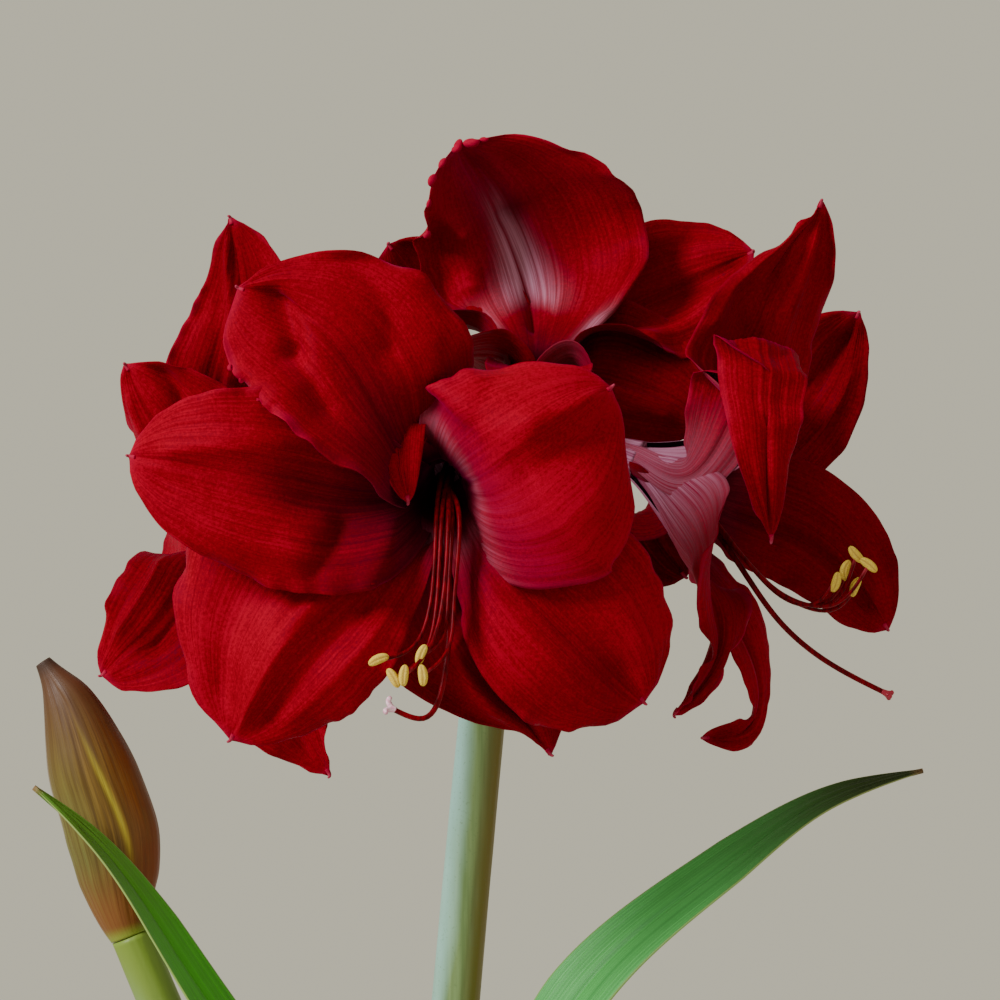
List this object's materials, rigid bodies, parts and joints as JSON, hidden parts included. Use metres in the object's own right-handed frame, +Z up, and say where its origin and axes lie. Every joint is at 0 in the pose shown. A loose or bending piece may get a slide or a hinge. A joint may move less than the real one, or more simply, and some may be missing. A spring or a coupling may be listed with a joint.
{
  "type": "potted amaryllis",
  "caption": "Red amaryllis in bloom on a thick stalk, with a budded second stalk and strap leaves, growing from a bulb half sunk in the soil of a plain round pot.",
  "frame": {"origin": "the middle of the pot's flat underside, on the surface that it stands on", "axes": "+Z up the plant, +X to the right and +Y away from someone who looks at the front bloom"},
  "size_m": [0.3268, 0.2078, 0.7109],
  "materials": {
    "petal": "satin",
    "stalk": "satin",
    "leaf": "satin",
    "bud": "satin",
    "bulb": "matte",
    "soil": "matte",
    "pot": "matte"
  },
  "bodies": {
    "root": {"pot": "pot", "soil": "soil", "bulb": "bulb", "scape_main": "stalk", "scape_second": "stalk", "bud": "bud", "leaf_left": "leaf", "leaf_right": "leaf", "bloom_front": "petal", "bloom_right": "petal", "bloom_top": "petal", "bloom_left": "petal"}
  },
  "joints": []
}
